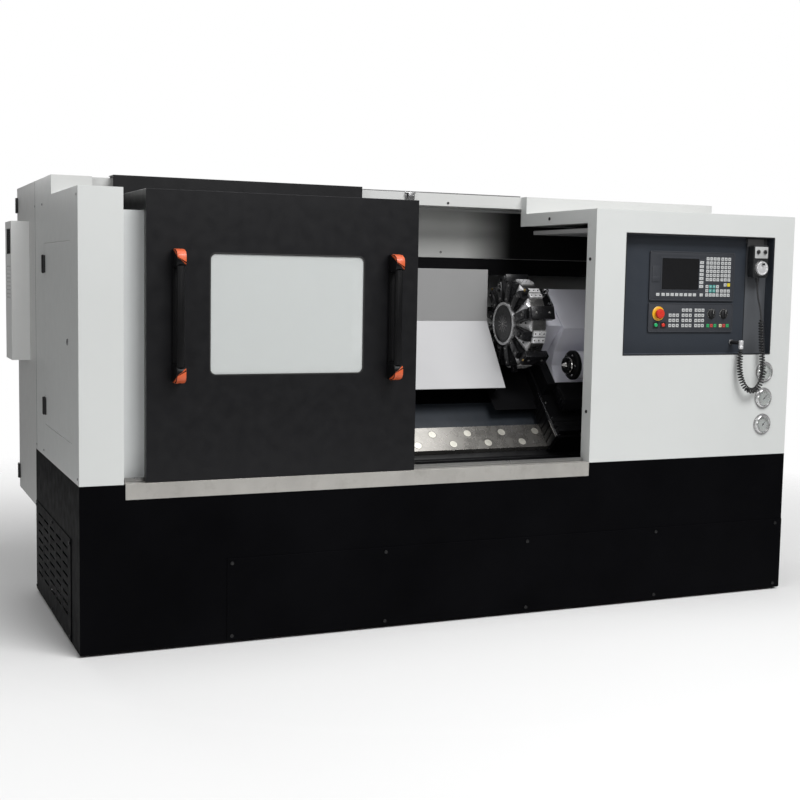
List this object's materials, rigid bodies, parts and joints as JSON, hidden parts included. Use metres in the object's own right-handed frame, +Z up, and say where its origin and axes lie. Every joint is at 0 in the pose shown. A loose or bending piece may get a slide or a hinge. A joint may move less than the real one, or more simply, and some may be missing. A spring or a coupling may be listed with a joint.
{
  "type": "turning lathe",
  "caption": "Enclosed slant-bed turning lathe with a sliding front door, indexing tool turret, tailstock, sunk control panel and a hand pendant on a curly cord.",
  "frame": {"origin": "middle of the machine's whole box at floor level, with the free cord left out", "axes": "+X to the right along the machine's length, +Y to the back, +Z up"},
  "size_m": [3.037, 1.611, 1.669],
  "materials": {
    "black_casing": "satin black paint",
    "grey_cover": "light grey paint",
    "cabinet_grey": "light grey paint",
    "dark_door": "smooth dark grey paint",
    "panel_blue": "dark blue-grey powder coat",
    "iron": "dark painted iron",
    "ground_steel": "ground steel",
    "strip_grey": "warm grey paint",
    "plug_steel": "turned steel",
    "white_paint": "white paint",
    "black_guard": "black paint",
    "turret_white": "pale lavender paint",
    "chuck_steel": "ground steel",
    "motor_grey": "dark grey paint",
    "belt_rubber": "black rubber",
    "foot_steel": "dull steel",
    "rail_steel": "ground steel",
    "display_plastic": "dark plastic with grey keys",
    "screen_glass": "dark screen",
    "operator_plastic": "dark plastic with grey keys",
    "stop_red": "red",
    "start_green": "green",
    "halt_red": "red",
    "knob_black": "black",
    "gauge_metal": "black bezel",
    "pendant_plastic": "dark plastic",
    "wheel_metal": "bright metal",
    "hook_steel": "bent steel",
    "cord_rubber": "black rubber",
    "grip_rubber": "black ribbed rubber",
    "cap_orange": "orange-red plastic",
    "window_glass": "clear laminated glass",
    "hinge_black": "black"
  },
  "bodies": {
    "machine": {"base_casing": "black_casing", "service_cover": "black_casing", "end_vent_cover": "black_casing", "sill_strip": "black_casing", "bed": "iron", "guideways": "strip_grey", "way_plugs": "plug_steel", "levelling_feet": "foot_steel", "headstock": "iron", "spindle_motor": "motor_grey", "spindle_belt": "belt_rubber", "head_cover": "grey_cover", "fixed_front_panel": "white_paint", "rear_cover": "cabinet_grey", "frame_tube": "black_guard", "door_rails": "rail_steel", "control_cabinet": "grey_cover", "control_panel_tray": "panel_blue", "display_unit": "display_plastic", "display_screen": "screen_glass", "operator_panel": "operator_plastic", "gauge_cases": "gauge_metal", "pendant_hook": "hook_steel", "pendant_body": "pendant_plastic", "cord_gland": "knob_black", "pendant_lead": "cord_rubber", "pendant_coil": "cord_rubber", "electrical_cabinet": "cabinet_grey", "cover_hinges": "hinge_black", "cooling_unit": "cabinet_grey"},
    "door": {"door_panel": "dark_door", "door_window": "window_glass", "door_grips": "grip_rubber", "door_grip_ends": "cap_orange"},
    "spindle": {"spindle": "ground_steel", "chuck_body": "chuck_steel"},
    "jaw_1": {"chuck_jaw_1": "chuck_steel"},
    "jaw_2": {"chuck_jaw_2": "chuck_steel"},
    "jaw_3": {"chuck_jaw_3": "chuck_steel"},
    "motor_pulley": {"motor_pulley": "ground_steel"},
    "carriage": {"saddle": "black_guard", "way_cover": "white_paint", "carriage_guard": "black_guard"},
    "cross_slide": {"cross_slide": "iron", "turret_housing": "iron", "turret_cover": "turret_white"},
    "turret": {"turret_disc": "ground_steel", "tool_holders": "black_guard"},
    "tailstock": {"tailstock": "turret_white"},
    "quill": {"quill": "ground_steel"},
    "side_door": {"side_door": "grey_cover"},
    "rear_door": {"rear_door": "cabinet_grey"},
    "emergency_stop": {"emergency_stop": "stop_red"},
    "start_button": {"start_button": "start_green"},
    "halt_button": {"halt_button": "halt_red"},
    "feed_knob": {"feed_knob": "knob_black"},
    "speed_knob": {"speed_knob": "knob_black"},
    "handwheel": {"handwheel": "wheel_metal"},
    "axis_selector": {"axis_selector": "knob_black"},
    "step_selector": {"step_selector": "knob_black"}
  },
  "joints": [
    {"name": "door_slide", "type": "slide", "parent": "machine", "child": "door", "axis": [1, 0, 0], "range_m": [-0.07, 0.757]},
    {"name": "spindle_turn", "type": "hinge", "parent": "machine", "child": "spindle", "pos_m": [-0.4465, -0.3965, 0.952], "axis": [1, 0, 0], "continuous": true},
    {"name": "jaw_1_slide", "type": "slide", "parent": "spindle", "child": "jaw_1", "axis": [0, 0, 1], "range_m": [-0.008, 0.008]},
    {"name": "jaw_2_slide", "type": "slide", "parent": "spindle", "child": "jaw_2", "axis": [0, -0.866, -0.5], "range_m": [-0.008, 0.008]},
    {"name": "jaw_3_slide", "type": "slide", "parent": "spindle", "child": "jaw_3", "axis": [0, 0.866, -0.5], "range_m": [-0.008, 0.008]},
    {"name": "motor_turn", "type": "hinge", "parent": "machine", "child": "motor_pulley", "pos_m": [-1.1565, -0.3965, 0.33], "axis": [1, 0, 0], "continuous": true},
    {"name": "carriage_slide", "type": "slide", "parent": "machine", "child": "carriage", "axis": [1, 0, 0], "range_m": [-0.64, 0.02]},
    {"name": "cross_slide_feed", "type": "slide", "parent": "carriage", "child": "cross_slide", "axis": [0, 0.7071, 0.7071], "range_m": [-0.015, 0.13]},
    {"name": "turret_index", "type": "hinge", "parent": "cross_slide", "child": "turret", "pos_m": [0.4695, -0.22962, 1.11888], "axis": [1, 0, 0], "continuous": true},
    {"name": "tailstock_slide", "type": "slide", "parent": "machine", "child": "tailstock", "axis": [1, 0, 0], "range_m": [0, 0.26]},
    {"name": "quill_feed", "type": "slide", "parent": "tailstock", "child": "quill", "axis": [-1, 0, 0], "range_m": [0, 0.07]},
    {"name": "side_door_hinge", "type": "hinge", "parent": "machine", "child": "side_door", "pos_m": [-1.451, 0.0295, 1.06], "axis": [0, 0, -1], "range_deg": [0, 110]},
    {"name": "rear_door_hinge", "type": "hinge", "parent": "machine", "child": "rear_door", "pos_m": [-1.451, 0.8015, 1.005], "axis": [0, 0, 1], "range_deg": [0, 110]},
    {"name": "emergency_stop_press", "type": "slide", "parent": "machine", "child": "emergency_stop", "axis": [0, 1, 0], "range_m": [0, 0.004]},
    {"name": "start_press", "type": "slide", "parent": "machine", "child": "start_button", "axis": [0, 1, 0], "range_m": [0, 0.0018], "stiffness_N_per_m": 300},
    {"name": "halt_press", "type": "slide", "parent": "machine", "child": "halt_button", "axis": [0, 1, 0], "range_m": [0, 0.0018], "stiffness_N_per_m": 300},
    {"name": "feed_knob_turn", "type": "hinge", "parent": "machine", "child": "feed_knob", "pos_m": [1.1395, -0.6865, 1.18], "axis": [0, 1, 0], "range_deg": [-120, 120]},
    {"name": "speed_knob_turn", "type": "hinge", "parent": "machine", "child": "speed_knob", "pos_m": [1.2015, -0.6865, 1.18], "axis": [0, 1, 0], "range_deg": [-120, 120]},
    {"name": "handwheel_turn", "type": "hinge", "parent": "machine", "child": "handwheel", "pos_m": [1.347, -0.7315, 1.371], "axis": [0, 1, 0], "continuous": true},
    {"name": "axis_selector_turn", "type": "hinge", "parent": "machine", "child": "axis_selector", "pos_m": [1.3295, -0.7315, 1.439], "axis": [0, 1, 0], "range_deg": [-60, 60]},
    {"name": "step_selector_turn", "type": "hinge", "parent": "machine", "child": "step_selector", "pos_m": [1.3645, -0.7315, 1.439], "axis": [0, 1, 0], "range_deg": [-60, 60]}
  ],
  "couplings": [
    {"joint": "jaw_2_slide", "follows": "jaw_1_slide", "ratio": 1},
    {"joint": "jaw_3_slide", "follows": "jaw_1_slide", "ratio": 1},
    {"joint": "motor_turn", "follows": "spindle_turn", "ratio": 1.5833}
  ]
}
